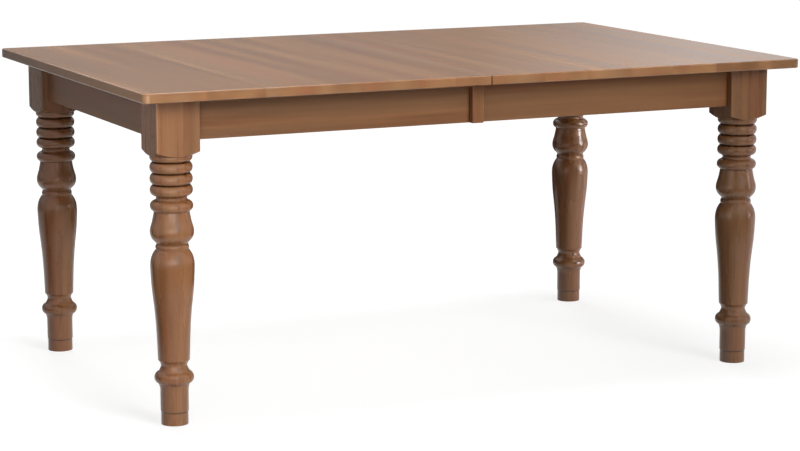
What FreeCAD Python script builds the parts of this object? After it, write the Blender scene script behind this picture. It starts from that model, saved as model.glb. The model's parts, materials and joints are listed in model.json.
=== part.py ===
"""Extension dining table with turned legs, closed, in millimetres.

The origin is on the floor under the middle of the table. +X runs along the length to the right half,
-Y is the front long side and +Z is up. Each half of the table is modelled on the left, at X below zero.
The right half is the same work turned half a turn about Z, apart from its boards, pins and lock plates.
"""
import FreeCAD, Part
import math
import os

from FreeCAD import Vector

# Top
top_length = 1676.4
top_width = 1066.8
table_height = 762.0
top_thickness = 22.2
top_edge_round = 3.2
top_corner_radius = 14.0
seam_gap = 0.6
seam_edge_break = 0.8
# Joints between the boards of each half, from the seam outwards, along the half's length
left_joint_shares = (0.110, 0.223, 0.389, 0.527, 0.662, 0.828)
right_joint_shares = (0.165, 0.298, 0.437, 0.574, 0.716, 0.859)

# Legs
leg_block = 102.0
leg_block_round = 3.0
end_overhang = 50.8
side_overhang = 63.5
leg_inner_chamfer = 30.0
glide_diameter = 38.0
glide_thickness = 6.0
glide_proud = 1.5
glide_edge_round = 0.8

# Turned profile: radius as a share of half the square block, height as a share of the leg's height
foot_share = (0.601, 0.0405)
ankle_low_share = (0.623, 0.0446)
ankle_high_share = (0.626, 0.1054)
ankle_cove_shares = ((0.647, 0.1190), (0.700, 0.1288))
torus_shares = ((0.872, 0.1466), (0.698, 0.1650))
waist_flare_shares = ((0.618, 0.1745), (0.576, 0.1838))
waist_step_shares = ((0.616, 0.1930), (0.700, 0.2010))
baluster_shares = (
    (0.720, 0.2432), (0.755, 0.3007), (0.806, 0.3470), (0.878, 0.3930), (0.932, 0.4300),
    (0.965, 0.4730), (0.955, 0.5050), (0.880, 0.5230), (0.712, 0.5408),
)
collar_shares = ((0.735, 0.5470), (0.676, 0.5570))
vase_shares = (
    (0.735, 0.5623), (0.814, 0.5677), (0.918, 0.5785), (0.961, 0.5920), (0.942, 0.6056),
    (0.873, 0.6218), (0.820, 0.6380), (0.775, 0.6560),
)
neck_bead_shares = ((0.940, 0.6735), (0.790, 0.6880))
neck_cove_share = (0.672, 0.6965)
bead_joint_shares = (0.7035, 0.7372, 0.7720, 0.8062)
bead_groove_share = 0.735
bead_crest_share = 0.935
shoulder_low_share = 0.8205
shoulder_inner_share = 0.8248
shoulder_outer_share = (1.569, 0.8458)

# Aprons and battens
apron_height = 95.0
apron_thickness = 22.0
apron_recess = 19.5
apron_edge_round = 2.0
batten_width = 29.0
batten_thickness = 16.0
batten_edge_round = 2.5
batten_relief = 0.5

# Corner blocks and leg bolts
corner_block_thickness = 32.0
corner_block_gap = 4.0
corner_block_inset = 8.0
bolt_diameter = 8.0
bolt_bite = 45.0
bolt_tail = 4.0
bolt_hole_clearance = 0.6
bolt_height_shares = (0.25, 0.75)
nut_across_flats = 13.0
nut_height = 8.0
nut_flange_diameter = 18.0
nut_flange_thickness = 1.6

# Wood screws: the long ones go through a full apron thickness, the short ones through a plate
long_screw_diameter = 4.6
long_screw_head_diameter = 9.0
long_screw_head_height = 3.0
short_screw_diameter = 4.0
short_screw_head_diameter = 8.0
short_screw_head_height = 2.4
screw_bite = 12.0
screw_tip = 4.0
screw_clearance = 0.1
screw_pocket_clearance = 0.8
block_screw_pocket = 9.0
block_screw_height_shares = (0.25, 0.75)
batten_screw_height_shares = (0.25, 0.72)

# Clips between aprons and top
plate_thickness = 2.5
clip_width = 18.0
clip_drop = 11.0
clip_reach = 25.0
clip_stand_off = 3.0
clip_tongue = 7.0
clip_tongue_room = 2.0
clip_tongue_play = 0.9
side_clip_shares = (0.33, 0.72)
end_clip_shares = (0.23, 0.50, 0.77)

# Slides: each set has a middle rail between one rail of the left half and one of the right half
slide_inset = 236.0
rail_end_room = 126.0
rail_width = 34.0
rail_height = 50.0
rail_gap = 1.0
rail_relief = 2.0
rail_edge_break = 2.0
rail_screw_shares = (0.12, 0.38, 0.66, 0.93)
tongue_drop_share = 0.34
tongue_depth = 8.0
tongue_root_height = 10.0
tongue_tip_height = 16.0
tongue_clearance = 0.5

# Rack and pinion of each slide set, in mesh at both sides of the middle rail
extension_travel = 914.4
tooth_module = 2.0
pinion_teeth = 18
pressure_angle = math.radians(20.0)
addendum_share = 1.0
dedendum_share = 1.25
tooth_backlash = 0.2
pinion_thickness = 8.0
pinion_drop_share = 0.74
pinion_side_clearance = 1.0
pinion_tip_clearance = 1.5
pinion_pin_diameter = 8.0
pinion_pin_engagement = 8.0
pinion_pin_recess = 2.0
pin_fit_clearance = 0.05
rack_thickness = 10.0
rack_spare_pitches = 2.5

# Seam pins and swing locks
seam_pin_diameter = 10.0
seam_pin_reach = 12.0
seam_pin_bite = 22.0
seam_pin_nose_round = 2.5
seam_pin_clearance = 0.4
seam_pin_shares = (-0.80, -0.25, 0.25, 0.80)
lock_room = 22.0
lock_set_back = 24.0
lock_plate_margin = 8.0
lock_plate_corner = 5.0
lock_screw_room = 1.0
lock_screw_offset = 13.0
lock_post_diameter = 8.0
lock_post_head_diameter = 14.0
lock_post_head_height = 2.0
lever_thickness = 4.0
lever_play = 0.6
lever_eye_diameter = 18.0
lever_arm_width = 13.0
lever_jaw = 5.5
lever_pad_width = 24.0
lever_tail = 20.0
lever_tab_thickness = 3.0
lever_tab_drop = 10.0
lever_slot_clearance = 0.6

# One overrun carries every cut past the faces that it opens
cut_overrun = 5.0

# Levels and places that follow from the sizes above
underside = table_height - top_thickness
apron_bottom = underside - apron_height
block_half = leg_block / 2
leg_x = top_length / 2 - end_overhang - block_half
leg_y = top_width / 2 - side_overhang - block_half
apron_face_local = block_half - apron_recess
apron_inner_local = apron_face_local - apron_thickness
apron_face_x = leg_x + apron_face_local
apron_inner_x = leg_x + apron_inner_local
apron_face_y = leg_y + apron_face_local
apron_inner_y = leg_y + apron_inner_local
leg_inner_x = leg_x - block_half
leg_inner_y = leg_y - block_half
seam_face = seam_gap / 2
clip_groove_depth = clip_tongue + clip_tongue_room
clip_groove_height = plate_thickness + clip_tongue_play

long_screw_grip = apron_thickness
pitch_radius = tooth_module * pinion_teeth / 2
tooth_pitch = math.pi * tooth_module
addendum = addendum_share * tooth_module
dedendum = dedendum_share * tooth_module
outer_rail_face = pitch_radius - addendum
middle_rail_half = outer_rail_face - rail_gap
rack_back = outer_rail_face + rack_thickness
rack_height = pinion_thickness + 2 * pinion_side_clearance
pinion_level = underside - pinion_drop_share * rail_height
tongue_level = underside - tongue_drop_share * rail_height
rail_length = 2 * (apron_inner_x - rail_end_room)
slide_offset = apron_inner_y - slide_inset
lever_level = underside - plate_thickness - lever_play - lever_thickness
lever_slot = lock_post_diameter + 2 * lever_slot_clearance
lock_reach = 2 * lock_set_back
lever_reach = lock_reach + lever_slot / 2 + lever_jaw
lock_offset = slide_offset + outer_rail_face + rail_width + lever_reach + lock_room
lock_screw_set_back = lock_set_back + lever_tail + short_screw_head_diameter / 2 + lock_screw_room

X_AXIS = Vector(1, 0, 0)
Y_AXIS = Vector(0, 1, 0)
Z_AXIS = Vector(0, 0, 1)
ORIGIN = Vector(0, 0, 0)


# Small modelling helpers
def block(x_low, x_high, y_low, y_high, z_low, z_high):
    return Part.makeBox(x_high - x_low, y_high - y_low, z_high - z_low, Vector(x_low, y_low, z_low))


def drill(start, direction, diameter, depth):
    return Part.makeCylinder(diameter / 2, depth, start, direction)


def outline_prism(points, travel):
    face = Part.Face(Part.makePolygon(points + points[:1]))
    return face.extrude(travel)


def plan_prism(points, z_low, z_high):
    return outline_prism([Vector(x, y, z_low) for x, y in points], Z_AXIS * (z_high - z_low))


def section_prism(points, x_low, x_high):
    return outline_prism([Vector(x_low, y, z) for y, z in points], X_AXIS * (x_high - x_low))


def turned(edges):
    return Part.Face(Part.Wire(edges)).revolve(ORIGIN, Z_AXIS, 360)


def line(start, end):
    return Part.LineSegment(start, end).toShape()


def arc(start, middle, end):
    return Part.Arc(start, middle, end).toShape()


def spline(points):
    curve = Part.BSplineCurve()
    curve.interpolate(points)
    return curve.toShape()


def edges_along(shape, axis):
    return [e for e in shape.Edges if abs(e.tangentAt(e.FirstParameter).dot(axis)) > 0.999]


def cut_all(shape, tools):
    return shape.cut(tools) if tools else shape


def half_turn(shape):
    copy = shape.copy()
    copy.rotate(ORIGIN, Z_AXIS, 180)
    return copy


# Fasteners, each along +Z from the underside of its head
def screw(diameter, head_diameter, head_height, length):
    radius = diameter / 2
    head = head_diameter / 2
    profile = [
        Vector(0, 0, -head_height), Vector(head - head_height / 2, 0, -head_height),
        Vector(head, 0, -head_height / 2), Vector(head, 0, 0), Vector(radius, 0, 0),
        Vector(radius, 0, length - screw_tip), Vector(0, 0, length),
    ]
    ends = profile[1:] + profile[:1]
    return turned([line(a, b) for a, b in zip(profile, ends)])


def long_screw():
    return screw(long_screw_diameter, long_screw_head_diameter, long_screw_head_height,
                 long_screw_grip + screw_bite)


def short_screw():
    return screw(short_screw_diameter, short_screw_head_diameter, short_screw_head_height,
                 plate_thickness + screw_bite)


def placed(shape, start, direction):
    copy = shape.copy()
    copy.Placement = FreeCAD.Placement(start, FreeCAD.Rotation(Z_AXIS, direction))
    return copy


class FastenerSet:
    """Screws of one kind on one half of the table, with the holes that they need."""

    def __init__(self, pattern, diameter, grip):
        self.pattern = pattern
        self.hole = diameter + 2 * screw_clearance
        self.grip = grip
        self.solids = []
        self.holes = []

    def drive(self, seat, direction):
        self.solids.append(placed(self.pattern, seat, direction))
        self.holes.append(drill(seat, direction, self.hole, self.grip + screw_bite + screw_clearance))


# Turned leg at the origin, with its bolted inner corner towards +X and +Y
def leg_point(share):
    radius_share, height_share = share
    return Vector(radius_share * block_half, 0, height_share * underside)


def ellipse_arc(first, second, centre, sweep):
    """Arc from the end of the first half axis past that of the second, whichever axis is the longer."""
    if centre.distanceToPoint(first) >= centre.distanceToPoint(second):
        return Part.ArcOfEllipse(Part.Ellipse(first, second, centre), 0, sweep).toShape()
    return Part.ArcOfEllipse(Part.Ellipse(second, first, centre), math.pi / 2 - sweep, math.pi / 2).toShape()


def bead(low, high, crest_radius):
    middle = (low + high) / 2
    return ellipse_arc(low, Vector(crest_radius, 0, middle.z), middle, math.pi)


def turning_edges():
    """Half profile of the turning, from the foot up the outside and back down the axis."""
    foot = leg_point(foot_share)
    heel = Vector(foot.x, 0, glide_proud)
    low_ankle = leg_point(ankle_low_share)
    high_ankle = leg_point(ankle_high_share)
    axis_low = Vector(0, 0, glide_proud)
    edges = [line(axis_low, heel), line(heel, foot), line(foot, low_ankle), line(low_ankle, high_ankle)]
    here = high_ankle
    for shares in (ankle_cove_shares, torus_shares, waist_flare_shares, waist_step_shares):
        middle, end = [leg_point(share) for share in shares]
        edges.append(arc(here, middle, end))
        here = end
    baluster = [here] + [leg_point(share) for share in baluster_shares]
    edges.append(spline(baluster))
    here = baluster[-1]
    middle, end = [leg_point(share) for share in collar_shares]
    edges.append(arc(here, middle, end))
    vase = [end] + [leg_point(share) for share in vase_shares]
    edges.append(spline(vase))
    here = vase[-1]
    middle, end = [leg_point(share) for share in neck_bead_shares]
    edges.append(arc(here, middle, end))
    grooves = [leg_point((bead_groove_share, share)) for share in bead_joint_shares]
    edges.append(arc(end, leg_point(neck_cove_share), grooves[0]))
    crest_radius = bead_crest_share * block_half
    for low, high in zip(grooves, grooves[1:]):
        edges.append(bead(low, high, crest_radius))
    here = grooves[-1]
    crest = leg_point((bead_crest_share, shoulder_low_share))
    core = Vector(here.x, 0, crest.z)
    edges.append(ellipse_arc(here, crest, core, math.pi / 2))
    inner = leg_point((bead_crest_share, shoulder_inner_share))
    outer = leg_point(shoulder_outer_share)
    head = Vector(outer.x, 0, underside)
    axis_high = Vector(0, 0, underside)
    for end in (inner, outer, head, axis_high, axis_low):
        edges.append(line(crest, end))
        crest = end
    return edges


def diagonal_point(distance, level):
    return Vector(distance, distance, 0) / math.sqrt(2) + Z_AXIS * level


def leg_chamfer_distance():
    return (2 * block_half - leg_inner_chamfer) / math.sqrt(2)


def bolt_levels():
    return [apron_bottom + share * apron_height for share in bolt_height_shares]


def turned_leg():
    square = block(-block_half, block_half, -block_half, block_half, 0, underside)
    square = square.makeFillet(leg_block_round, edges_along(square, Z_AXIS))
    leg = square.common(turned(turning_edges()))
    corner = block_half - leg_inner_chamfer
    past = block_half + cut_overrun
    past_corner = corner - cut_overrun
    chamfer = plan_prism([(past, past_corner), (past, past), (past_corner, past)],
                         apron_bottom, underside + cut_overrun)
    diagonal = diagonal_point(1, 0)
    bolts = [drill(diagonal_point(leg_chamfer_distance() - bolt_bite, level), diagonal,
                   bolt_diameter + 2 * screw_clearance, bolt_bite + cut_overrun) for level in bolt_levels()]
    glide_seat = drill(Vector(0, 0, 0), Z_AXIS, glide_diameter + 2 * screw_clearance, glide_thickness)
    return leg.cut([chamfer, glide_seat] + bolts)


def foot_glide():
    glide = drill(ORIGIN, Z_AXIS, glide_diameter, glide_thickness)
    rim = [e for e in glide.Edges if e.Closed and e.CenterOfMass.z < glide_proud]
    return glide.makeFillet(glide_edge_round, rim)


# Corner block and bolts of the same leg
def block_face_distances():
    outer = leg_chamfer_distance() + corner_block_gap
    return outer, outer + corner_block_thickness


def corner_block():
    outer, inner = [distance * math.sqrt(2) for distance in block_face_distances()]
    wall = -apron_inner_local
    points = [(wall, outer - wall), (wall, inner - wall), (inner - wall, wall), (outer - wall, wall)]
    solid = plan_prism(points, apron_bottom + corner_block_inset, underside - corner_block_inset)
    diagonal = diagonal_point(1, 0)
    holes = [drill(diagonal_point(0, level), diagonal, bolt_diameter + 2 * bolt_hole_clearance,
                   inner + cut_overrun) for level in bolt_levels()]
    return solid.cut(holes)


def corner_bolts():
    start = leg_chamfer_distance() - bolt_bite
    end = block_face_distances()[1] + nut_height + bolt_tail
    diagonal = diagonal_point(1, 0)
    return [drill(diagonal_point(start, level), diagonal, bolt_diameter, end - start)
            for level in bolt_levels()]


def flange_nut():
    corner = nut_across_flats / math.sqrt(3)
    turns = [math.radians(60 * step) for step in range(6)]
    hexagon = [(corner * math.cos(turn), corner * math.sin(turn)) for turn in turns]
    body = plan_prism(hexagon, 0, nut_height)
    flange = drill(ORIGIN, Z_AXIS, nut_flange_diameter, nut_flange_thickness)
    bore = drill(ORIGIN, Z_AXIS, bolt_diameter + 2 * screw_clearance, nut_height)
    return body.fuse(flange).cut(bore).removeSplitter()


def corner_nuts():
    seat = block_face_distances()[1]
    diagonal = diagonal_point(1, 0)
    return [placed(flange_nut(), diagonal_point(seat, level), diagonal) for level in bolt_levels()]


def block_screw_seats():
    """Seats and directions of the screws that go through the block into both aprons."""
    wall = -apron_inner_local
    height = apron_height - 2 * corner_block_inset
    seat = wall + long_screw_grip
    across = block_face_distances()[1] * math.sqrt(2) - seat - block_screw_pocket
    seats = []
    for share in block_screw_height_shares:
        level = apron_bottom + corner_block_inset + share * height
        seats.append((Vector(across, seat, level), -Y_AXIS))
        seats.append((Vector(seat, across, level), -X_AXIS))
    return seats


# A corner is turned a quarter turn for the leg at the back of the left half
def at_corner(shape, side):
    copy = shape.copy()
    if side > 0:
        copy.rotate(ORIGIN, Z_AXIS, -90)
    copy.translate(Vector(-leg_x, side * leg_y, 0))
    return copy


def corner_seat(seat, direction, side):
    turn = FreeCAD.Rotation(Z_AXIS, -90 if side > 0 else 0)
    return turn.multVec(seat) + Vector(-leg_x, side * leg_y, 0), turn.multVec(direction)


# Boards of the top
def half_panel():
    outer = -top_length / 2
    panel = block(outer, -seam_face, -top_width / 2, top_width / 2, underside, table_height)
    uprights = [e for e in edges_along(panel, Z_AXIS) if e.CenterOfMass.x < outer / 2]
    panel = panel.makeFillet(top_corner_radius, uprights)
    rim = [e for e in panel.Edges if abs(e.tangentAt(e.FirstParameter).z) < 0.5
           and e.BoundBox.XMin < -seam_face - seam_edge_break]
    panel = panel.makeFillet(top_edge_round, rim)
    return panel.cut([seam_break(table_height, -seam_edge_break), seam_break(underside, seam_edge_break)])


def seam_break(level, drop):
    """Wedge that eases the edge of the seam at one level, over the full width."""
    back = -top_width / 2 - cut_overrun
    points = [Vector(-seam_face - seam_edge_break, back, level), Vector(-seam_face, back, level + drop),
              Vector(-seam_face + cut_overrun, back, level + drop),
              Vector(-seam_face + cut_overrun, back, level - drop),
              Vector(-seam_face - seam_edge_break, back, level - drop)]
    return outline_prism(points, Y_AXIS * (top_width + 2 * cut_overrun))


def top_boards(joint_shares, holes):
    panel = cut_all(half_panel(), holes)
    bounds = [0] + [-share * top_length / 2 for share in joint_shares] + [-top_length / 2 - cut_overrun]
    boards = []
    for inner, outer in zip(bounds, bounds[1:]):
        slab = block(outer, inner, -top_width, top_width, 0, table_height + cut_overrun)
        boards.append(panel.common(slab))
    return boards


# Aprons, each with a saw kerf along its inner face for the clips
def clip_kerf_levels():
    high = underside - clip_drop
    return high - clip_groove_height, high


def side_apron(side, holes):
    inner, outer = sorted((side * apron_inner_y, side * apron_face_y))
    apron = block(-leg_inner_x, -seam_face, inner, outer, apron_bottom, underside)
    lower = [e for e in edges_along(apron, X_AXIS)
             if e.CenterOfMass.z < underside - apron_height / 2 and abs(e.CenterOfMass.y) > apron_inner_y]
    apron = apron.makeFillet(apron_edge_round, lower)
    kerf_ends = sorted((side * (apron_inner_y - cut_overrun), side * (apron_inner_y + clip_groove_depth)))
    kerf = block(-leg_inner_x - cut_overrun, cut_overrun, *kerf_ends, *clip_kerf_levels())
    return apron.cut([kerf] + holes)


def end_apron(holes):
    apron = block(-apron_face_x, -apron_inner_x, -leg_inner_y, leg_inner_y, apron_bottom, underside)
    lower = [e for e in edges_along(apron, Y_AXIS)
             if e.CenterOfMass.z < underside - apron_height / 2 and e.CenterOfMass.x < -apron_inner_x]
    apron = apron.makeFillet(apron_edge_round, lower)
    kerf = block(-apron_inner_x - clip_groove_depth, -apron_inner_x + cut_overrun,
                 -leg_inner_y - cut_overrun, leg_inner_y + cut_overrun, *clip_kerf_levels())
    return apron.cut([kerf] + holes)


def top_clip():
    """Bent strip at the origin, level with the underside, that leaves an apron's face along +X."""
    foot = clip_stand_off + clip_reach
    bend = clip_stand_off + plate_thickness
    low = clip_drop + plate_thickness
    profile = [(-clip_tongue, -clip_drop), (clip_stand_off, -clip_drop), (clip_stand_off, 0), (foot, 0),
               (foot, -plate_thickness), (bend, -plate_thickness), (bend, -low), (-clip_tongue, -low)]
    points = [Vector(x, -clip_width / 2, underside + z) for x, z in profile]
    strip = outline_prism(points, Y_AXIS * clip_width)
    hole = drill(Vector(clip_screw_reach(), 0, underside - plate_thickness - cut_overrun), Z_AXIS,
                 short_screw_diameter + 2 * screw_clearance, plate_thickness + 2 * cut_overrun)
    return strip.cut(hole)


def clip_screw_reach():
    return (clip_stand_off + plate_thickness + clip_stand_off + clip_reach) / 2


def clip_stations():
    """Foot of each clip on an apron's inner face, with its turn about Z."""
    stations = []
    for share in side_clip_shares:
        along = -leg_inner_x + share * leg_inner_x
        stations.append((Vector(along, -apron_inner_y, 0), 90))
        stations.append((Vector(along, apron_inner_y, 0), -90))
    for share in end_clip_shares:
        stations.append((Vector(-apron_inner_x, (2 * share - 1) * leg_inner_y, 0), 0))
    return stations


# Rails of the left half lie on the -Y side of their middle rail
def tongue_half_height(depth):
    slope = (tongue_tip_height - tongue_root_height) / 2 / tongue_depth
    return tongue_root_height / 2 + slope * depth


def outer_rail(centre):
    face = centre - outer_rail_face
    back = face - rail_width
    tip = face + tongue_depth
    bottom = underside - rail_height
    root = tongue_half_height(0)
    head = tongue_half_height(tongue_depth)
    profile = [(back + rail_edge_break, bottom), (face, bottom), (face, tongue_level - root),
               (tip, tongue_level - head), (tip, tongue_level + head), (face, tongue_level + root),
               (face, underside), (back, underside), (back, bottom + rail_edge_break)]
    rail = section_prism(profile, -rail_length / 2, rail_length / 2)
    relief = block(0, rail_length, back - cut_overrun, face + cut_overrun,
                   underside - rail_relief, underside + cut_overrun)
    start, end = rack_ends()
    rack_seat = block(start, end, centre - rack_back, face + cut_overrun, *rack_levels())
    screw_holes = []
    for seat in rail_screw_seats(centre):
        pocket = Vector(seat.x, seat.y, bottom - cut_overrun)
        screw_holes.append(drill(pocket, Z_AXIS, long_screw_head_diameter + 2 * screw_pocket_clearance,
                                 seat.z - pocket.z))
        screw_holes.append(drill(seat, Z_AXIS, long_screw_diameter + 2 * screw_clearance, rail_height))
    return rail.cut([relief, rack_seat] + screw_holes)


def rail_screw_seats(centre):
    across = centre - outer_rail_face - rail_width / 2
    return [Vector(-share * rail_length / 2, across, underside - long_screw_grip)
            for share in rail_screw_shares]


def middle_rail(centre):
    bottom = underside - rail_height
    top = underside - rail_relief
    floor = tongue_depth + tongue_clearance
    mouth = tongue_half_height(rail_gap) + tongue_clearance
    wide = tongue_half_height(floor) + tongue_clearance
    face = middle_rail_half
    inside = outer_rail_face - floor
    half = [(face, bottom), (face, tongue_level - mouth), (inside, tongue_level - wide),
            (inside, tongue_level + wide), (face, tongue_level + mouth), (face, top)]
    profile = [(centre + y, z) for y, z in half] + [(centre - y, z) for y, z in reversed(half)]
    rail = section_prism(profile, -rail_length / 2, rail_length / 2)
    room = pitch_radius + addendum + pinion_tip_clearance
    mortise = block(-room, room, centre - face - cut_overrun, centre + face + cut_overrun, *rack_levels())
    pin_start = Vector(0, centre, bottom - cut_overrun)
    pin_hole = drill(pin_start, Z_AXIS, pinion_pin_diameter + 2 * pin_fit_clearance,
                     pinion_pin_levels()[1] - pin_start.z)
    return rail.cut([mortise, pin_hole])


# Rack and pinion
def rack_levels():
    return pinion_level - rack_height / 2, pinion_level + rack_height / 2


def rack_ends():
    return -rack_spare_pitches * tooth_pitch, extension_travel / 2 + rack_spare_pitches * tooth_pitch


def rack(centre):
    """Toothed strip for a rail of the left half, with a tooth space at the pinion's rest place."""
    start, end = rack_ends()
    tip = centre - outer_rail_face
    root = centre - pitch_radius - dedendum
    half_space = tooth_pitch / 4 + tooth_backlash / 2
    mouth = half_space + addendum * math.tan(pressure_angle)
    floor = half_space - dedendum * math.tan(pressure_angle)
    points = [(start, centre - rack_back), (start, tip)]
    for step in range(math.ceil(start / tooth_pitch), math.floor(end / tooth_pitch) + 1):
        middle = step * tooth_pitch
        if start < middle - mouth and middle + mouth < end:
            points += [(middle - mouth, tip), (middle - floor, root)]
            points += [(middle + floor, root), (middle + mouth, tip)]
    points += [(end, tip), (end, centre - rack_back)]
    return plan_prism(points, *rack_levels())


def involute(angle):
    return math.tan(angle) - angle


def polar(radius, angle):
    return Vector(radius * math.cos(angle), radius * math.sin(angle), 0)


def pinion_outline():
    """Involute teeth, each from root to tip and back, with one tooth along +Y."""
    base = pitch_radius * math.cos(pressure_angle)
    root = pitch_radius - dedendum
    tip = pitch_radius + addendum
    half_tooth = math.pi / 2 / pinion_teeth - tooth_backlash / 2 / pitch_radius + involute(pressure_angle)
    flank_radii = (base, (base + tip) / 2, tip)
    flank_turns = [half_tooth - involute(math.acos(base / radius)) for radius in flank_radii]
    edges = []
    step = 2 * math.pi / pinion_teeth
    for tooth in range(pinion_teeth):
        middle = math.pi / 2 + tooth * step
        rise = [polar(r, middle - turn) for r, turn in zip(flank_radii, flank_turns)]
        fall = [polar(r, middle + turn) for r, turn in zip(flank_radii, flank_turns)]
        foot_in = polar(root, middle - flank_turns[0])
        foot_out = polar(root, middle + flank_turns[0])
        next_foot = polar(root, middle + step - flank_turns[0])
        edges += [line(foot_in, rise[0]), arc(*rise), arc(rise[2], polar(tip, middle), fall[2]),
                  arc(fall[2], fall[1], fall[0]), line(fall[0], foot_out),
                  arc(foot_out, polar(root, middle + step / 2), next_foot)]
    return Part.Wire(edges)


def pinion(centre):
    wheel = Part.Face(pinion_outline()).extrude(Z_AXIS * pinion_thickness)
    wheel = wheel.cut(drill(ORIGIN, Z_AXIS, pinion_pin_diameter + 2 * pin_fit_clearance, pinion_thickness))
    wheel.translate(Vector(0, centre, pinion_level - pinion_thickness / 2))
    return wheel


def pinion_pin_levels():
    return underside - rail_height + pinion_pin_recess, rack_levels()[1] + pinion_pin_engagement


def pinion_pin(centre):
    low, high = pinion_pin_levels()
    return drill(Vector(0, centre, low), Z_AXIS, pinion_pin_diameter, high - low)


# Seam pins stand in the right half and enter holes in the left half
def seam_pin_starts():
    middle = underside + top_thickness / 2
    return [Vector(-seam_face - seam_pin_bite, share * top_width / 2, middle) for share in seam_pin_shares]


def seam_pins():
    pins = []
    length = seam_pin_bite + seam_gap + seam_pin_reach
    for start in seam_pin_starts():
        pin = drill(start, X_AXIS, seam_pin_diameter, length)
        nose = [e for e in pin.Edges if e.Closed and e.CenterOfMass.x > 0]
        pins.append(pin.makeFillet(seam_pin_nose_round, nose))
    return pins


def seam_pin_sockets(depth, clearance):
    return [drill(Vector(-seam_face - depth, start.y, start.z), X_AXIS, seam_pin_diameter + 2 * clearance,
                  depth + cut_overrun) for start in seam_pin_starts()]


# Locks: a plate with a post on each half, and a lever that swings from one post round the other
def lock_plate(centre):
    """Plate with its headed post on the left half, with the plate's long side away from the seam."""
    end = -lock_screw_set_back - lock_plate_margin
    seam_end = -lock_set_back + lock_post_head_diameter / 2 + lock_plate_margin
    half_width = lock_screw_offset + lock_plate_margin
    plate = block(end, seam_end, centre - half_width, centre + half_width,
                  underside - plate_thickness, underside)
    plate = plate.makeFillet(lock_plate_corner, edges_along(plate, Z_AXIS))
    head_level = lever_level - lever_play - lock_post_head_height
    post = drill(Vector(-lock_set_back, centre, head_level), Z_AXIS, lock_post_diameter,
                 underside - head_level)
    head = drill(Vector(-lock_set_back, centre, head_level), Z_AXIS, lock_post_head_diameter,
                 lock_post_head_height)
    holes = [drill(Vector(seat.x, seat.y, seat.z - cut_overrun), Z_AXIS,
                   short_screw_diameter + 2 * screw_clearance, plate_thickness + 2 * cut_overrun)
             for seat in lock_screw_seats(centre)]
    return plate.cut(holes).fuse([post, head]).removeSplitter()


def lock_screw_seats(centre):
    level = underside - plate_thickness
    return [Vector(-lock_screw_set_back, centre + side * lock_screw_offset, level) for side in (-1, 1)]


def lock_lever(centre):
    """Lever of the right half at rest, pointing to the front, with its slot open towards the keeper."""
    low, high = 0, lever_thickness
    eye = drill(ORIGIN, Z_AXIS, lever_eye_diameter, lever_thickness)
    arm = block(-lever_tail, lever_reach, -lever_arm_width / 2, lever_arm_width / 2, low, high)
    pad = block(lock_reach - lever_slot / 2 - lever_jaw, lever_reach,
                -lever_pad_width / 2, lever_pad_width / 2, low, high)
    tab = block(-lever_tail, -lever_tail + lever_tab_thickness, -lever_arm_width / 2, lever_arm_width / 2,
                -lever_tab_drop, high)
    reach_disc = drill(ORIGIN, Z_AXIS, 2 * lever_reach, lever_thickness)
    body = eye.fuse([arm, pad]).common(reach_disc).fuse(tab)
    ring = drill(ORIGIN, Z_AXIS, 2 * lock_reach + lever_slot, lever_thickness)
    ring = ring.cut(drill(ORIGIN, Z_AXIS, 2 * lock_reach - lever_slot, lever_thickness))
    swept = ring.common(block(0, lever_reach, -lock_reach, 0, low, high))
    seat = drill(Vector(lock_reach, 0, 0), Z_AXIS, lever_slot, lever_thickness)
    bore = drill(ORIGIN, Z_AXIS, lock_post_diameter + 2 * pin_fit_clearance, lever_thickness)
    lever = body.cut([swept, seat, bore]).removeSplitter()
    lever.rotate(ORIGIN, Z_AXIS, -90)
    lever.translate(Vector(lock_set_back, centre, lever_level))
    return lever


# Batten over the apron joint, carried by the left half at the back
def batten(holes):
    half = batten_width / 2
    top = underside - batten_relief
    strip = block(-half, half, apron_face_y, apron_face_y + batten_thickness, apron_bottom, top)
    outer = [e for e in edges_along(strip, Z_AXIS) if e.CenterOfMass.y > apron_face_y]
    strip = strip.makeFillet(batten_edge_round, outer)
    free_side = block(-seam_face, half + cut_overrun,
                      apron_face_y - cut_overrun, apron_face_y + batten_relief,
                      apron_bottom - cut_overrun, top + cut_overrun)
    return strip.cut([free_side] + holes)


def batten_screw_seats():
    across = (-batten_width / 2 - seam_face) / 2
    return [Vector(across, apron_inner_y, apron_bottom + share * apron_height)
            for share in batten_screw_height_shares]


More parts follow.
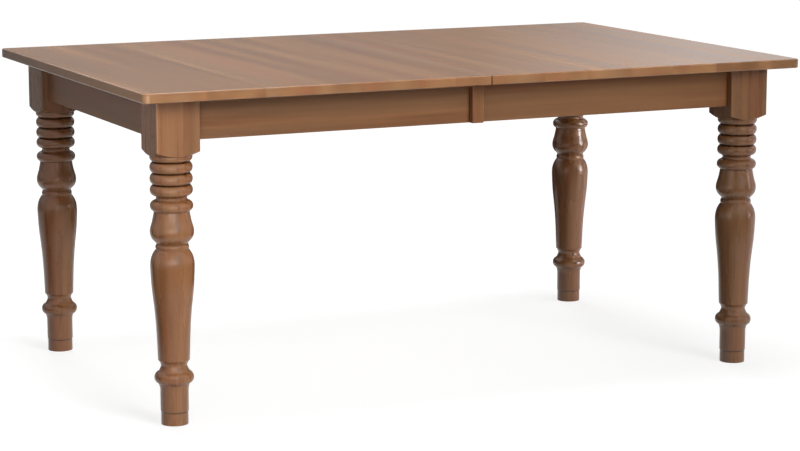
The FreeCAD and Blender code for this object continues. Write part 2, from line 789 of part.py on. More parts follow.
# One half of the table, on the left
def table_half(joint_shares, has_pins):
    """Solids of one half by plain names, where near is the -Y side and far is the +Y side."""
    pieces = {}
    long_screws = FastenerSet(long_screw(), long_screw_diameter, long_screw_grip)
    short_screws = FastenerSet(short_screw(), short_screw_diameter, plate_thickness)

    for seat in batten_screw_seats():
        long_screws.drive(seat, Y_AXIS)
    bolts, nuts, glides = [], [], []
    for name, side in (("near", -1), ("far", 1)):
        block_holes = []
        for seat, direction in block_screw_seats():
            place, inwards = corner_seat(seat, direction, side)
            long_screws.drive(place, inwards)
            block_holes.append(long_screws.holes[-1])
            block_holes.append(drill(place, -inwards,
                                     long_screw_head_diameter + 2 * screw_pocket_clearance, leg_block))
        pieces[name + "_leg"] = [at_corner(turned_leg(), side)]
        pieces[name + "_corner_block"] = [at_corner(corner_block(), side).cut(block_holes)]
        bolts += [at_corner(bolt, side) for bolt in corner_bolts()]
        nuts += [at_corner(nut, side) for nut in corner_nuts()]
        glides.append(at_corner(foot_glide(), side))
    pieces["leg_bolts"] = bolts
    pieces["leg_nuts"] = nuts
    pieces["foot_glides"] = glides

    racks = []
    for name, centre in (("near", -slide_offset), ("far", slide_offset)):
        for seat in rail_screw_seats(centre):
            long_screws.drive(seat, Z_AXIS)
        pieces[name + "_rail"] = [outer_rail(centre)]
        racks.append(rack(centre))
    pieces["racks"] = racks

    clips = []
    for foot, turn in clip_stations():
        clip = top_clip()
        clip.rotate(ORIGIN, Z_AXIS, turn)
        clip.translate(foot)
        clips.append(clip)
        reach = FreeCAD.Rotation(Z_AXIS, turn).multVec(X_AXIS) * clip_screw_reach()
        short_screws.drive(foot + reach + Z_AXIS * (underside - plate_thickness), Z_AXIS)
    pieces["top_clips"] = clips

    plates = []
    for centre in (-lock_offset, lock_offset):
        plates.append(lock_plate(centre))
        for seat in lock_screw_seats(centre):
            short_screws.drive(seat, Z_AXIS)
    pieces["lock_plates"] = plates

    pieces["near_apron"] = [side_apron(-1, long_screws.holes)]
    pieces["far_apron"] = [side_apron(1, long_screws.holes)]
    pieces["end_apron"] = [end_apron(long_screws.holes)]
    pieces["batten"] = [batten(long_screws.holes)]

    sockets = seam_pin_sockets(seam_pin_bite, screw_clearance)
    if has_pins:
        pieces["seam_pins"] = seam_pins()
    else:
        sockets = seam_pin_sockets(seam_pin_reach + seam_pin_clearance, seam_pin_clearance)
    holes = long_screws.holes + short_screws.holes + sockets
    for number, board in enumerate(top_boards(joint_shares, holes), start=1):
        pieces["board_" + str(number)] = [board]
    pieces["long_screws"] = long_screws.solids
    pieces["short_screws"] = short_screws.solids
    return pieces


def node_name(piece, half, near, far):
    """Front is the -Y side of the whole table, so near and far change places on the right half."""
    if piece.startswith("near_"):
        return near + "_" + half + "_" + piece[len("near_"):]
    if piece.startswith("far_"):
        return far + "_" + half + "_" + piece[len("far_"):]
    if piece == "batten":
        return far + "_batten"
    if piece == "lock_plates":
        return "lock_keepers" if half == "left" else "lock_plates"
    if piece == "seam_pins":
        return piece
    return half + "_" + piece


def all_nodes():
    nodes = {}
    for piece, solids in table_half(left_joint_shares, False).items():
        nodes[node_name(piece, "left", "front", "back")] = solids
    for piece, solids in table_half(right_joint_shares, True).items():
        nodes[node_name(piece, "right", "back", "front")] = [half_turn(solid) for solid in solids]
    for name, side in (("front", -1), ("back", 1)):
        nodes[name + "_middle_rail"] = [middle_rail(side * slide_offset)]
        nodes[name + "_pinion"] = [pinion(side * slide_offset)]
        nodes[name + "_pinion_pin"] = [pinion_pin(side * slide_offset)]
        nodes[name + "_lock_lever"] = [lock_lever(side * lock_offset)]
    return nodes


def single_solids(shapes):
    return [solid for shape in shapes for solid in shape.Solids]


os.makedirs("parts", exist_ok=True)
for node, shapes in all_nodes().items():
    solids = single_solids(shapes)
    shape = solids[0] if len(solids) == 1 else Part.makeCompound(solids)
    shape.exportStep("parts/" + node + ".step")
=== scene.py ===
"""Looks of the extension dining table, in metres: stain and lacquer, bare slides, plated hardware.

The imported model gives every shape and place, apart from the cross recesses of the screws.
This script adds those, the finish of each piece, the studio and the camera.
+X runs along the length to the right half, -Y is the front long side and +Z is up.
"""

import json
import math
import random

import bmesh
import bpy
import numpy
from mathutils import Matrix, Vector

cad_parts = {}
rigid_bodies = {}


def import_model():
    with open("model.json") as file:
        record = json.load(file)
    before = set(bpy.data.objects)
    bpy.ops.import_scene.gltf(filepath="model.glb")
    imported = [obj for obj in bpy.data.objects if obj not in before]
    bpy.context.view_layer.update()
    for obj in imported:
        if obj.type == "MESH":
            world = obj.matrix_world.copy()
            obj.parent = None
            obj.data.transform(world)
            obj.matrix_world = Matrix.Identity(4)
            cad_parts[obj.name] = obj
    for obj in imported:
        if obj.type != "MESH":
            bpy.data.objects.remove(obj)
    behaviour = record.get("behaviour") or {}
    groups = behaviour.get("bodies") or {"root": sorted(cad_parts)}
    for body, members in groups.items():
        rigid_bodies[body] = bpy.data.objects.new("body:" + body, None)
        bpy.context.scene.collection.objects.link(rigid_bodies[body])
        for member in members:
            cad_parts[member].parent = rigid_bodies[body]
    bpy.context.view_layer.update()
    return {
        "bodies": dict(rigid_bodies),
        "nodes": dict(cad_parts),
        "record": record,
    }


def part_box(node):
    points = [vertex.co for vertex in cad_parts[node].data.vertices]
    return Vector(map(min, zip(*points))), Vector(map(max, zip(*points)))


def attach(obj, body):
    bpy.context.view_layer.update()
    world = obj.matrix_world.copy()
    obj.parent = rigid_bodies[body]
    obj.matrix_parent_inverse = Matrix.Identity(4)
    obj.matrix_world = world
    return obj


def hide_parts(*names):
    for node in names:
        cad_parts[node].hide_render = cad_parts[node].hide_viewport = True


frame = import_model()

# Camera: the picture is taken as 800 pixels wide
picture_width = 800
focal_length_pixels = 2523.9
sensor_width_mm = 36.0
camera_place = Vector((-2.6303, -5.6163, 1.4109))
camera_yaw = math.radians(25.263)
camera_pitch = math.radians(9.875)

# Lamps: place, aim, width and height, power, spread
lamps = {
    "key": ((0.00, -2.95, 1.65), (-0.84, -0.45, 0.46), (3.2, 2.2), 17.0, math.radians(44)),
    "left_front": ((-1.75, -1.70, 0.95), (-0.78, -0.30, 0.55), (0.7, 1.1), 2.2, math.radians(90)),
    "left": ((-2.60, -1.30, 1.10), (-0.80, -0.20, 0.65), (1.2, 1.2), 2.3, math.pi),
    "right": ((3.60, -2.20, 1.00), (0.85, 0.60, 0.40), (0.6, 1.4), 4.0, math.radians(28)),
    "front": ((0.50, -4.20, 1.50), (0.30, -0.42, 0.60), (1.4, 1.4), 2.3, math.radians(45)),
    "overhead": ((0.00, 0.00, 4.50), (0.00, 0.00, 0.76), (2.4, 1.8), 112.0, math.pi),
    "back": ((0.60, 4.40, 2.60), (0.00, 0.40, 0.50), (3.0, 1.8), 14.0, math.radians(75)),
}
# Lamps that leave no image of themselves in the lacquer
diffused_lamps = ("key", "left_front", "left", "front")

# Floor and surroundings
ambient_level = 0.05
floor_half_size = 60.0
floor_glow_near = 0.79
floor_glow_far = 1.0
floor_near_radius = 1.2
floor_far_radius = 3.6
paper_mottle_width = 0.03

# Cards that only the gloss sees: two ends of the lower edge, height and level
cards = {
    "front_card": ((-3.60, -3.60, 0), (4.60, -3.60, 0), 2.2, 0.20),
    "left_card": ((-1.00, 2.20, 0), (-3.60, 1.00, 0), 0.74, 0.30),
    "low_left_card": ((-1.30, -1.35, 0), (-1.30, 0.55, 0), 0.30, 0.05),
    "low_front_card": ((-1.30, -1.35, 0), (2.00, -1.35, 0), 0.26, 0.06),
    "middle_card": ((0.30, -1.20, 0), (0.30, 0.70, 0), 0.30, 0.04),
    "window_card": ((-1.40, -1.25, 0.42), (-0.66, -1.25, 0.42), 0.33, 3.8),
    "back_card": ((-0.60, 1.25, 0), (2.80, 1.25, 0), 0.70, 0.05),
}
card_mottle_width = 0.5
card_mottle_detail = 1.0
card_mottle_share = 0.1

# The card behind the table, which gives the top its sheen: grey up to an edge, paler past it
sheen_edge_azimuth = math.radians(29.5)
sheen_edge_distance = 10.0
sheen_card_width = 9.0
sheen_card_height = 4.0
sheen_card_level = 0.25
sheen_level = 0.74
sheen_rise = 0.9

# Noise is of this kind unless a value below says otherwise
noise_detail = 2.0
noise_roughness = 0.5

# Figure of the wood: widths run across the grain, stretches say how much longer a feature is along it
streak_widths = {"top_wood": 0.055, "leg_wood": 0.019, "apron_wood": 0.018, "plain_hardwood": 0.016}
streak_details = {"top_wood": 0.6, "leg_wood": 3.0, "apron_wood": 3.0, "plain_hardwood": 3.0}
streak_stretch = 26.0
hue_width_share = 1.9
hue_detail = 0.6
fibre_width = 0.0024
fibre_stretch = 60.0
fibre_detail = 3.0
fibre_roughness = 0.6
pore_width = 0.0009
pore_stretch = 22.0
pore_detail = 1.0
bend_width = 0.30
bend_stretch = 2.0
bend_depths = {"top_wood": 0.004, "leg_wood": 0.012, "apron_wood": 0.012, "plain_hardwood": 0.012}
ring_spacing = 0.0036
unscaled_ring_spacing = 2 * math.pi / 20
ring_distortion = 1.0
ring_detail = 2.0
ring_detail_scale = 0.6
pith_depth = 0.13
pith_tilt = math.radians(2.2)
noise_start_reach = 60.0
random_seed = 11
# Shares of streaks, fibres and rings in the tone, of the red and grey hues, and of the pores
tone_shares = {
    "top_wood": (0.95, 0.05, 0.0),
    "leg_wood": (0.90, 0.07, 0.03),
    "apron_wood": (0.88, 0.08, 0.04),
    "plain_hardwood": (0.76, 0.20, 0.04),
}
hue_shares = {
    "top_wood": (0.45, 0.40),
    "leg_wood": (0.55, 0.45),
    "apron_wood": (0.55, 0.45),
    "plain_hardwood": (0.55, 0.45),
}
pore_shares = {"top_wood": 0.03, "leg_wood": 0.08, "apron_wood": 0.08, "plain_hardwood": 0.20}
# Reach of the tone either side of its middle: a wide reach makes a quiet figure
tone_reaches = {"top_wood": 0.42, "leg_wood": 0.30, "apron_wood": 0.28, "plain_hardwood": 0.20}
tone_middle = 0.5
# Bands of the noise over which a feature comes in
red_band = (0.52, 0.68)
grey_band = (0.48, 0.34)
pore_band = (0.62, 0.74)
rough_band = (0.2, 0.8)
roughness_ease = 0.04
pore_rough_share = 0.5
fibre_height_share = 0.35
pore_height_share = -1.0
grain_depth = 0.0002

# Stain and lacquer, with painted shade and painted highlight: each band runs from where a feature is full
# to where it ends
stain_tones = {"leg_wood": 0.73, "apron_wood": 0.74}
# Painted light: the leg nearest to the camera is toned paler than the other three, because more light falls
# on it
lit_near_leg_tone = 0.96
board_tones = {
    "left": (1.11, 1.17, 1.02, 1.08, 1.19, 1.15, 1.27),
    "right": (1.15, 1.09, 1.06, 1.07, 1.17, 1.03, 1.11),
}
# Painted shade in the colour of glaze: in each piece's own grooves, and where another piece lies close
groove_reach = 0.012
groove_band = (0.25, 0.85)
groove_shares = {"top_wood": 0.35, "leg_wood": 0.84, "apron_wood": 0.80}
groove_samples = 8
joint_reach = 0.005
joint_band = (0.45, 0.80)
joint_share = 0.75
# Paler arrises: wear, and a painted highlight
arris_radius = 0.0022
arris_band = (0.80, 0.97)
arris_share = 0.30
edge_samples = 6
# Dark lines: glaze in the eased edges of the seam, and a painted shadow under the step of the foot:
# axis, place, half width
dark_line_places = {"top_wood": ("X", 0.0, 0.0012), "leg_wood": ("Z", 0.0305, 0.0009)}
line_share = 0.85
lacquer_roughness = {"top_wood": 0.22, "leg_wood": 0.28, "apron_wood": 0.32}
lacquer_specular = {"top_wood": 0.5, "leg_wood": 0.5, "apron_wood": 0.35}
grain_strengths = {"top_wood": 0.02, "leg_wood": 0.05, "apron_wood": 0.06}

# Bare wood of the slides
bare_roughness = 0.62
bare_specular = 0.3
bare_grain_strength = 0.4

# Plated steel and nylon: the dark share is the tone of the darker clouds
cloud_band = (0.3, 0.7)
zinc_cloud_width = 0.011
zinc_cloud_detail = 3.0
zinc_dark_share = 0.78
zinc_scratch_width = 0.0006
zinc_scratch_scale = (1.0, 0.06, 1.0)
zinc_scratch_strength = 0.12
zinc_rough_band = (0.7, 1.3)
zinc_roughness = (0.26, 0.44)
nylon_cloud_width = 0.017
nylon_dark_share = 0.88
nylon_grain_width = 0.0007
nylon_grain_band = (0.3, 0.7)
nylon_grain_strength = 0.15
nylon_roughness = (0.46, 0.60)

# Cross recess of a screw's head, as shares of the head's radius. The mouth and the taper are shares
# of the cross itself, above the head and at the bottom of the recess
screw_nodes = ("left_long_screws", "right_long_screws", "left_short_screws", "right_short_screws")
recess_arm_share = 0.62
recess_width_share = 0.17
recess_depth_share = 0.40
recess_overrun_share = 0.10
recess_mouth_share = 1.0
recess_taper_share = 0.45
weld_distance = 1e-6
smooth_angle = math.radians(30)


def srgb(red, green, blue):
    """Linear colour of a screen colour in 0 to 255."""
    shares = [value / 255 for value in (red, green, blue)]
    return tuple(s / 12.92 if s <= 0.04045 else ((s + 0.055) / 1.055) ** 2.4 for s in shares)


# Stain from dark to pale, then its reddish and its greyish hue
FRAME_STAIN = (
    (srgb(122, 79, 48), srgb(148, 99, 61), srgb(168, 118, 75)),
    srgb(150, 90, 58),
    srgb(140, 102, 69),
)
TOP_STAIN = (
    (srgb(122, 82, 53), srgb(148, 104, 68), srgb(168, 123, 83)),
    srgb(150, 94, 65),
    srgb(140, 106, 76),
)
BARE_HARDWOOD = (
    (srgb(176, 140, 98), srgb(203, 170, 128), srgb(222, 194, 156)),
    srgb(200, 160, 116),
    srgb(196, 172, 138),
)
# Dark brown of the glaze in the seam, also used for painted shade in grooves and at joints and for a
# painted shadow under the step of the foot
GLAZE_AND_SHADE = srgb(50, 28, 17)
# Paler stain of the arrises: wear, and painted highlight
WORN_AND_LIT = srgb(190, 146, 110)
ZINC = srgb(176, 178, 178)
NYLON = srgb(214, 208, 194)
PAPER = ((0.34, 0.34, 0.34), (0.38, 0.38, 0.38))
WHITE = (1.0, 1.0, 1.0)


def coloured(colour):
    """Colour with its opacity, as a socket takes it."""
    return (*colour, 1.0)


def toned(colour, tone):
    return tuple(tone * channel for channel in colour)


class Tree:
    """Node tree of a material or of the world. Most calls add a node and return what it gives."""

    def __init__(self, owner):
        owner.use_nodes = True
        self.owner = owner
        self.nodes = owner.node_tree.nodes
        self.links = owner.node_tree.links

    def put(self, socket, value):
        if isinstance(value, bpy.types.NodeSocket):
            self.links.new(value, socket)
        else:
            socket.default_value = value

    def add(self, kind, inputs, output=0, **settings):
        node = self.nodes.new(kind)
        for name, value in settings.items():
            setattr(node, name, value)
        for name, value in inputs.items():
            self.put(node.inputs[name], value)
        return node.outputs[output]

    def place(self):
        return self.add("ShaderNodeTexCoord", {}, "Object")

    def mapped(self, vector, location=(0, 0, 0), rotation=(0, 0, 0), scale=(1, 1, 1)):
        inputs = {"Vector": vector, "Location": location, "Rotation": rotation, "Scale": scale}
        return self.add("ShaderNodeMapping", inputs)

    def noise(self, vector, width, detail=noise_detail, roughness=noise_roughness, output="Fac"):
        inputs = {"Vector": vector, "Scale": 1 / width, "Detail": detail, "Roughness": roughness}
        return self.add("ShaderNodeTexNoise", inputs, output)

    def math(self, operation, first, second=0):
        return self.add("ShaderNodeMath", {0: first, 1: second}, operation=operation)

    def weighed(self, *pairs):
        """Sum of values, each times its share."""
        terms = [self.math("MULTIPLY", value, share) for value, share in pairs]
        total = terms[0]
        for term in terms[1:]:
            total = self.math("ADD", total, term)
        return total

    def vector(self, operation, first, second=(0, 0, 0), output="Vector"):
        return self.add("ShaderNodeVectorMath", {0: first, 1: second}, output, operation=operation)

    def spread(self, value, band, result=(0, 1)):
        """Value over a band, held at both ends of it, as a value over the result."""
        (low, high), (to_low, to_high) = band, result
        inputs = {"Value": value, "From Min": low, "From Max": high, "To Min": to_low, "To Max": to_high}
        return self.add("ShaderNodeMapRange", inputs)

    def mix(self, share, first, second):
        """Two colours mixed. The sockets for colours come after those for numbers and vectors."""
        inputs = {"Factor": share, 6: first, 7: second}
        return self.add("ShaderNodeMix", inputs, 2, data_type="RGBA")

    def ramp(self, value, colours):
        node = self.nodes.new("ShaderNodeValToRGB")
        self.put(node.inputs["Fac"], value)
        stops = node.color_ramp.elements
        while len(stops) < len(colours):
            stops.new(1)
        for number, colour in enumerate(colours):
            stops[number].position = number / (len(colours) - 1)
            stops[number].color = coloured(colour)
        return node.outputs["Color"]

    def bump(self, height, strength):
        inputs = {"Height": height, "Strength": strength, "Distance": grain_depth}
        return self.add("ShaderNodeBump", inputs, "Normal")

    def shader(self):
        return self.nodes["Principled BSDF"]

    def finish(self, **sockets):
        """Material with its shader's sockets set, where each word stands for a socket's name."""
        for name, value in sockets.items():
            self.put(self.shader().inputs[name.replace("_", " ").title().replace("Ior", "IOR")], value)
        return self.owner


# Wood
AXES = "XYZ"


class Wood:
    """One piece of wood: its grain's axis, the place of its pith, and where its noise starts.

    The boards of the top run across the table. Every other piece has its grain along its length.
    """

    def __init__(self, node, slot, draw):
        low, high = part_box(node)
        size = high - low
        longest = AXES[max(range(3), key=lambda axis: size[axis])]
        self.name = node + "_wood"
        self.slot = slot
        self.grain = "Y" if slot == "top_wood" else longest
        self.start = [draw.uniform(0, noise_start_reach) for axis in AXES]
        wander = Vector([draw.uniform(-pith_depth, pith_depth) for axis in AXES])
        self.pith = (low + high + wander) / 2 - Vector((0, 0, pith_depth))

    def stretched(self, tree, place, stretch):
        return tree.mapped(place, scale=[1 / stretch if axis == self.grain else 1 for axis in AXES])

    def rings(self, tree, place, bend):
        around = tree.mapped(place, location=[-p for p in self.pith])
        tilted = tree.mapped(around, rotation=(pith_tilt, pith_tilt, pith_tilt))
        inputs = {"Vector": tree.vector("ADD", tilted, bend), "Scale": unscaled_ring_spacing / ring_spacing,
                  "Distortion": ring_distortion, "Detail": ring_detail, "Detail Scale": ring_detail_scale}
        return tree.add("ShaderNodeTexWave", inputs, "Fac", wave_type="RINGS", rings_direction=self.grain,
                        wave_profile="SIN")

    def hued(self, tree, tone, hues, pores, stain):
        """Colour of a tone in a stain, with its reddish and greyish parts and dark pores."""
        colours, red, grey = stain
        reach = tone_reaches[self.slot]
        red_share, grey_share = hue_shares[self.slot]
        colour = tree.ramp(tree.spread(tone, (tone_middle - reach, tone_middle + reach)), colours)
        colour = tree.mix(tree.spread(hues, red_band, (0, red_share)), colour, coloured(red))
        colour = tree.mix(tree.spread(hues, grey_band, (0, grey_share)), colour, coloured(grey))
        dark = tree.math("MULTIPLY", pores, pore_shares[self.slot])
        return tree.mix(dark, colour, coloured(colours[0]))

    def figure(self, stain, roughness):
        """Tree with its colour, roughness and height: soft streaks, fine fibres, faint rings and pores."""
        tree = Tree(bpy.data.materials.new(self.name))
        place = tree.place()
        own = tree.mapped(place, location=self.start)
        wander = tree.noise(self.stretched(tree, own, bend_stretch), bend_width, output="Color")
        bend = tree.vector("MULTIPLY", wander, [bend_depths[self.slot]] * len(AXES))
        flow = tree.vector("ADD", own, bend)
        long_flow = self.stretched(tree, flow, streak_stretch)
        width = streak_widths[self.slot]
        streaks = tree.noise(long_flow, width, streak_details[self.slot])
        hues = tree.noise(long_flow, width * hue_width_share, hue_detail)
        fibre_flow = self.stretched(tree, flow, fibre_stretch)
        fibres = tree.noise(fibre_flow, fibre_width, fibre_detail, fibre_roughness)
        pore_flow = self.stretched(tree, flow, pore_stretch)
        pores = tree.spread(tree.noise(pore_flow, pore_width, pore_detail), pore_band)

        marks = (streaks, fibres, self.rings(tree, place, bend))
        tone = tree.weighed(*zip(marks, tone_shares[self.slot]))
        colour = self.hued(tree, tone, hues, pores, stain)
        rough = tree.spread(streaks, rough_band, (roughness - roughness_ease, roughness + roughness_ease))
        rougher = tree.math("MULTIPLY", pores, pore_shares[self.slot] * pore_rough_share)
        height = tree.weighed((fibres, fibre_height_share), (pores, pore_height_share))
        return tree, colour, tree.math("ADD", rough, rougher), height


def groove_shade(tree, slot, colour):
    """Colour with painted shade, dark as glaze, in the piece's own grooves."""
    groove = tree.add("ShaderNodeAmbientOcclusion", {"Distance": groove_reach}, "AO", only_local=True,
                      samples=groove_samples)
    return tree.mix(tree.spread(groove, groove_band, (groove_shares[slot], 0)), colour, coloured(GLAZE_AND_SHADE))


def joint_shade(tree, colour):
    """Colour with painted shade, dark as glaze, where another piece is close."""
    joint = tree.add("ShaderNodeAmbientOcclusion", {"Distance": joint_reach}, "AO", samples=edge_samples)
    return tree.mix(tree.spread(joint, joint_band, (joint_share, 0)), colour, coloured(GLAZE_AND_SHADE))


def worn_and_lit_arrises(tree, colour):
    """Colour with paler stain along the arrises: wear, and a painted highlight where they catch the light.
    """
    eased = tree.add("ShaderNodeBevel", {"Radius": arris_radius}, samples=edge_samples)
    true = tree.add("ShaderNodeNewGeometry", {}, "Normal")
    facing = tree.vector("DOT_PRODUCT", eased, true, "Value")
    return tree.mix(tree.spread(facing, arris_band, (arris_share, 0)), colour, coloured(WORN_AND_LIT))


def dark_line(tree, slot, colour):
    """Colour darkened in one line across the piece: glaze along the top's seam, a painted shadow under the
    foot's step.
    """
    axis, level, half = dark_line_places[slot]
    along = tree.add("ShaderNodeSeparateXYZ", {"Vector": tree.place()}, axis)
    away = tree.math("ABSOLUTE", tree.math("SUBTRACT", along, level))
    return tree.mix(tree.spread(away, (half, 2 * half), (line_share, 0)), colour, coloured(GLAZE_AND_SHADE))


def stained_wood(wood, tone):
    """Brown stain under satin lacquer, painted shade in grooves and joints, arrises paler with wear and
    painted highlight.
    """
    slot = wood.slot
    colours, red, grey = TOP_STAIN if slot == "top_wood" else FRAME_STAIN
    stain = [toned(colour, tone) for colour in colours], toned(red, tone), toned(grey, tone)
    tree, colour, rough, height = wood.figure(stain, lacquer_roughness[slot])
    colour = groove_shade(tree, slot, colour)
    if slot != "top_wood":
        colour = worn_and_lit_arrises(tree, joint_shade(tree, colour))
    if slot in dark_line_places:
        colour = dark_line(tree, slot, colour)
    normal = tree.bump(height, grain_strengths[slot])
    return tree.finish(base_color=colour, roughness=rough, normal=normal,
                       specular_ior_level=lacquer_specular[slot])


def bare_wood(wood):
    """Pale hardwood with no finish."""
    tree, colour, rough, height = wood.figure(BARE_HARDWOOD, bare_roughness)
    normal = tree.bump(height, bare_grain_strength)
    return tree.finish(base_color=colour, roughness=rough, normal=normal, specular_ior_level=bare_specular)


# Hardware
def zinc_plate():
    """Plated steel with faint clouds and fine scratches."""
    tree = Tree(bpy.data.materials.new("zinc_plate"))
    place = tree.place()
    cloud = tree.noise(place, zinc_cloud_width, zinc_cloud_detail)
    scratch = tree.noise(tree.mapped(place, scale=zinc_scratch_scale), zinc_scratch_width)
    colour = tree.ramp(tree.spread(cloud, cloud_band), (toned(ZINC, zinc_dark_share), ZINC))
    rough = tree.spread(tree.math("ADD", cloud, scratch), zinc_rough_band, zinc_roughness)
    normal = tree.bump(scratch, zinc_scratch_strength)
    return tree.finish(base_color=colour, metallic=1, roughness=rough, normal=normal)


def nylon():
    """Off-white moulded nylon with a fine grain."""
    tree = Tree(bpy.data.materials.new("nylon"))
    place = tree.place()
    grain = tree.noise(place, nylon_grain_width)
    cloud = tree.noise(place, nylon_cloud_width)
    colour = tree.ramp(tree.spread(cloud, cloud_band), (toned(NYLON, nylon_dark_share), NYLON))
    rough = tree.spread(grain, nylon_grain_band, nylon_roughness)
    normal = tree.bump(grain, nylon_grain_strength)
    return tree.finish(base_color=colour, roughness=rough, normal=normal)


def cover(piece, material):
    piece.data.materials.clear()
    piece.data.materials.append(material)


def welded(node):
    """Mesh of a node with its faces joined along their edges."""
    mesh = bmesh.new()
    mesh.from_mesh(frame["nodes"][node].data)
    bmesh.ops.remove_doubles(mesh, verts=mesh.verts, dist=weld_distance)
    return mesh


def shells(mesh):
    """Loose shells of a mesh, each as its points, in the order of the mesh."""
    seen = set()
    found = []
    for first in mesh.verts:
        if first in seen:
            continue
        seen.add(first)
        growing = [first]
        shell = []
        while growing:
            vertex = growing.pop()
            shell.append(vertex.co)
            near = [edge.other_vert(vertex) for edge in vertex.link_edges]
            fresh = [other for other in near if other not in seen]
            seen.update(fresh)
            growing += fresh
        found.append(numpy.array(shell))
    return found


def screw_head(shell):
    """Centre of the head's top, the way out of it, and the head's radius."""
    middle = shell.mean(axis=0)
    away = shell - middle
    axis = numpy.linalg.svd(away)[2][0]
    along = away @ axis
    radii = numpy.linalg.norm(away - numpy.outer(along, axis), axis=1)
    if along[radii.argmax()] < 0:
        axis, along = -axis, -along
    return Vector(middle + along.max() * axis), Vector(axis), radii.max()


def cross_points(reach, width):
    """Corners of a cross in its own plane."""
    quarter = [Vector((reach, -width, 0)), Vector((reach, width, 0)), Vector((width, width, 0))]
    turns = [Matrix.Rotation(turn * math.pi / 2, 3, "Z") for turn in range(4)]
    return [turn @ point for turn in turns for point in quarter]


def recess(cutter, head, draw):
    """Adds to the cutter the tapered cross that a driver fits."""
    centre, out, radius = head
    turn = out.to_track_quat("Z", "Y") @ Matrix.Rotation(draw.uniform(0, math.pi), 3, "Z").to_quaternion()
    levels = ((recess_mouth_share, recess_overrun_share), (recess_taper_share, -recess_depth_share))
    rings = []
    for share, rise_share in levels:
        points = cross_points(radius * recess_arm_share * share, radius * recess_width_share * share)
        rise = Vector((0, 0, radius * rise_share))
        rings.append([cutter.verts.new(centre + turn @ (point + rise)) for point in points])
    top, bottom = rings
    cutter.faces.new(top)
    cutter.faces.new(reversed(bottom))
    for number, corner in enumerate(top):
        cutter.faces.new((top[number - 1], bottom[number - 1], bottom[number], corner))


def shown_mesh(name, mesh):
    made = bpy.data.objects.new(name, bpy.data.meshes.new(name))
    mesh.to_mesh(made.data)
    mesh.free()
    bpy.context.scene.collection.objects.link(made)
    return made


def recessed_screws(node, material, draw):
    """Screws of one node with a cross recess in each head."""
    screws = welded(node)
    cutter = bmesh.new()
    for shell in shells(screws):
        recess(cutter, screw_head(shell), draw)
    made = shown_mesh(node + "_recessed", screws)
    tool = shown_mesh(node + "_recesses", cutter)
    cut = made.modifiers.new("recesses", "BOOLEAN")
    cut.object = tool
    finished = bpy.data.meshes.new_from_object(made.evaluated_get(bpy.context.evaluated_depsgraph_get()))
    made.modifiers.clear()
    made.data = finished
    bpy.data.objects.remove(tool)
    finished.shade_smooth()
    finished.set_sharp_from_angle(angle=smooth_angle)
    cover(made, material)
    solid = frame["nodes"][node]
    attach(made, next(name for name, empty in frame["bodies"].items() if empty == solid.parent))
    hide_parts(node)


def tone_of(node, slot):
    """Tone of a stained piece: each board has its own, and the leg nearest to the camera is painted paler,
    as more light falls on it.
    """
    if node == "front_left_leg":
        return lit_near_leg_tone
    if slot != "top_wood":
        return stain_tones[slot]
    half, number = node.split("_board_")
    return board_tones[half][int(number) - 1]


def paint_all():
    """Gives every piece its material, and every screw its recess."""
    draw = random.Random(random_seed)
    plain = {"zinc_steel": zinc_plate(), "nylon": nylon()}
    for part in frame["record"]["subparts"]:
        node, slot = part["node"], part["material_slot"]
        if slot in plain:
            cover(frame["nodes"][node], plain[slot])
            continue
        wood = Wood(node, slot, draw)
        finish = bare_wood(wood) if slot == "plain_hardwood" else stained_wood(wood, tone_of(node, slot))
        cover(frame["nodes"][node], finish)
    for node in screw_nodes:
        recessed_screws(node, plain["zinc_steel"], draw)


# Studio
def area_light(name, place, aim, size, power, spread):
    lamp = bpy.data.lights.new(name, "AREA")
    lamp.shape = "RECTANGLE"
    lamp.size, lamp.size_y = size
    lamp.energy = power
    lamp.spread = spread
    light = bpy.data.objects.new(name, lamp)
    light.location = place
    light.rotation_euler = (Vector(aim) - Vector(place)).to_track_quat("-Z", "Y").to_euler()
    bpy.context.scene.collection.objects.link(light)
    light.visible_camera = False
    light.visible_glossy = name not in diffused_lamps


def sheet(name, corners, material):
    """Flat sheet of the studio."""
    mesh = bpy.data.meshes.new(name)
    mesh.from_pydata(corners, [], [range(len(corners))])
    mesh.materials.append(material)
    made = bpy.data.objects.new(name, mesh)
    bpy.context.scene.collection.objects.link(made)
    return made


def bare_tree(name):
    """Tree of a new material with no shader yet, and the socket that takes one."""
    tree = Tree(bpy.data.materials.new(name))
    tree.nodes.remove(tree.shader())
    return tree, tree.nodes["Material Output"].inputs["Surface"]


def background_ray(tree):
    """One for rays that show the background: straight to the camera, in gloss or through glass."""
    path = tree.add("ShaderNodeLightPath", {}, "Is Camera Ray").node
    seen = path.outputs["Is Camera Ray"]
    for ray in ("Is Glossy Ray", "Is Transmission Ray"):
        seen = tree.math("MAXIMUM", seen, path.outputs[ray])
    return seen


def floor():
    """White paper that keeps the shadow, lifted to white in the open and clear from below."""
    tree, surface = bare_tree("floor_paper")
    place = tree.place()
    mottle = tree.ramp(tree.noise(place, paper_mottle_width), PAPER)
    paper = tree.add("ShaderNodeBsdfDiffuse", {"Color": mottle})
    away = tree.vector("LENGTH", place, output="Value")
    level = tree.spread(away, (floor_near_radius, floor_far_radius), (floor_glow_near, floor_glow_far))
    glow = tree.add("ShaderNodeEmission", {"Strength": tree.math("MULTIPLY", background_ray(tree), level)})
    both = tree.add("ShaderNodeAddShader", {0: paper, 1: glow})
    clear = tree.add("ShaderNodeBsdfTransparent", {})
    below = tree.add("ShaderNodeNewGeometry", {}, "Backfacing")
    tree.put(surface, tree.add("ShaderNodeMixShader", {0: below, 1: both, 2: clear}))
    far = floor_half_size
    sheet("floor", [(-far, -far, 0), (far, -far, 0), (far, far, 0), (-far, far, 0)], tree.owner)


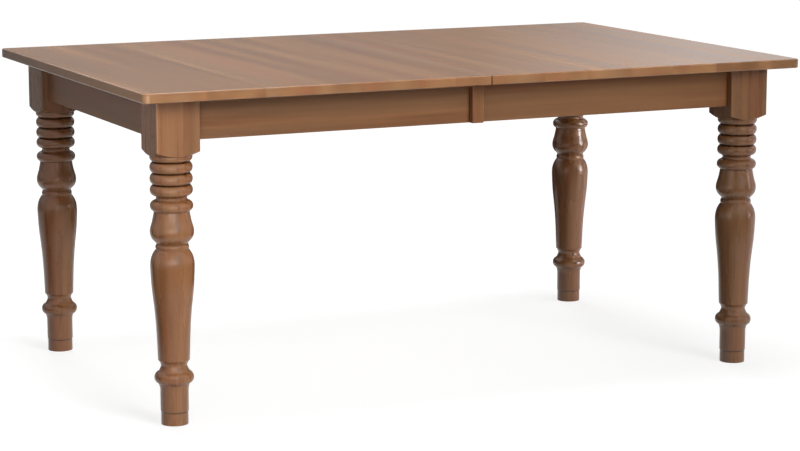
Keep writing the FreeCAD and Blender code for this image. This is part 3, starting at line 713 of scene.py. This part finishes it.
def world():
    """White behind the table and in its gloss, and a faint even light on everything else."""
    made = bpy.data.worlds.new("studio")
    bpy.context.scene.world = made
    tree = Tree(made)
    background = tree.nodes["Background"]
    tree.put(background.inputs["Color"], coloured(WHITE))
    tree.put(background.inputs["Strength"], tree.spread(background_ray(tree), (0, 1), (ambient_level, 1)))


def along_sight(azimuth, distance):
    """Point on the floor at a distance from the camera, with azimuth from +Y towards +X."""
    under_camera = Vector((camera_place.x, camera_place.y, 0))
    return under_camera + distance * Vector((math.sin(azimuth), math.cos(azimuth), 0))


def upright_card(name, start, end, height):
    """Upright card that shows in the gloss alone, as a photographer sets one up: its tree and its glow."""
    tree, surface = bare_tree(name)
    glow = tree.add("ShaderNodeEmission", {})
    tree.put(surface, glow)
    rise = Vector((0, 0, height))
    made = sheet(name, [start, end, end + rise, start + rise], tree.owner)
    made.visible_camera = False
    made.visible_diffuse = False
    made.visible_shadow = False
    return tree, glow.node.inputs["Strength"]


def card(name, start, end, height, level):
    """Card of one level, slightly mottled."""
    tree, strength = upright_card(name, Vector(start), Vector(end), height)
    mottle = tree.noise(tree.place(), card_mottle_width, card_mottle_detail)
    uneven = (level * (1 - card_mottle_share), level * (1 + card_mottle_share))
    tree.put(strength, tree.spread(mottle, (0, 1), uneven))


def sheen_card():
    """Wide card behind the table, grey on the left and paler past the line where the top's sheen starts."""
    edge = along_sight(sheen_edge_azimuth, sheen_edge_distance)
    rightwards = Vector((math.cos(sheen_edge_azimuth), -math.sin(sheen_edge_azimuth), 0))
    reach = rightwards * sheen_card_width
    tree, strength = upright_card("sheen_card", edge - reach, edge + reach, sheen_card_height)
    past = tree.vector("DOT_PRODUCT", tree.vector("SUBTRACT", tree.place(), edge), rightwards, "Value")
    level = tree.spread(past, (-sheen_rise / 2, sheen_rise / 2), (sheen_card_level, sheen_level))
    tree.put(strength, level)


def camera():
    lens = bpy.data.cameras.new("camera")
    lens.sensor_fit = "HORIZONTAL"
    lens.sensor_width = sensor_width_mm
    lens.lens = focal_length_pixels * sensor_width_mm / picture_width
    made = bpy.data.objects.new("camera", lens)
    made.location = camera_place
    made.rotation_euler = (math.pi / 2 - camera_pitch, 0, -camera_yaw)
    bpy.context.scene.collection.objects.link(made)
    bpy.context.scene.camera = made


paint_all()
floor()
sheen_card()
for card_name, card_values in cards.items():
    card(card_name, *card_values)
world()
for lamp_name, lamp_values in lamps.items():
    area_light(lamp_name, *lamp_values)
camera()
bpy.context.scene.view_settings.view_transform = "Standard"
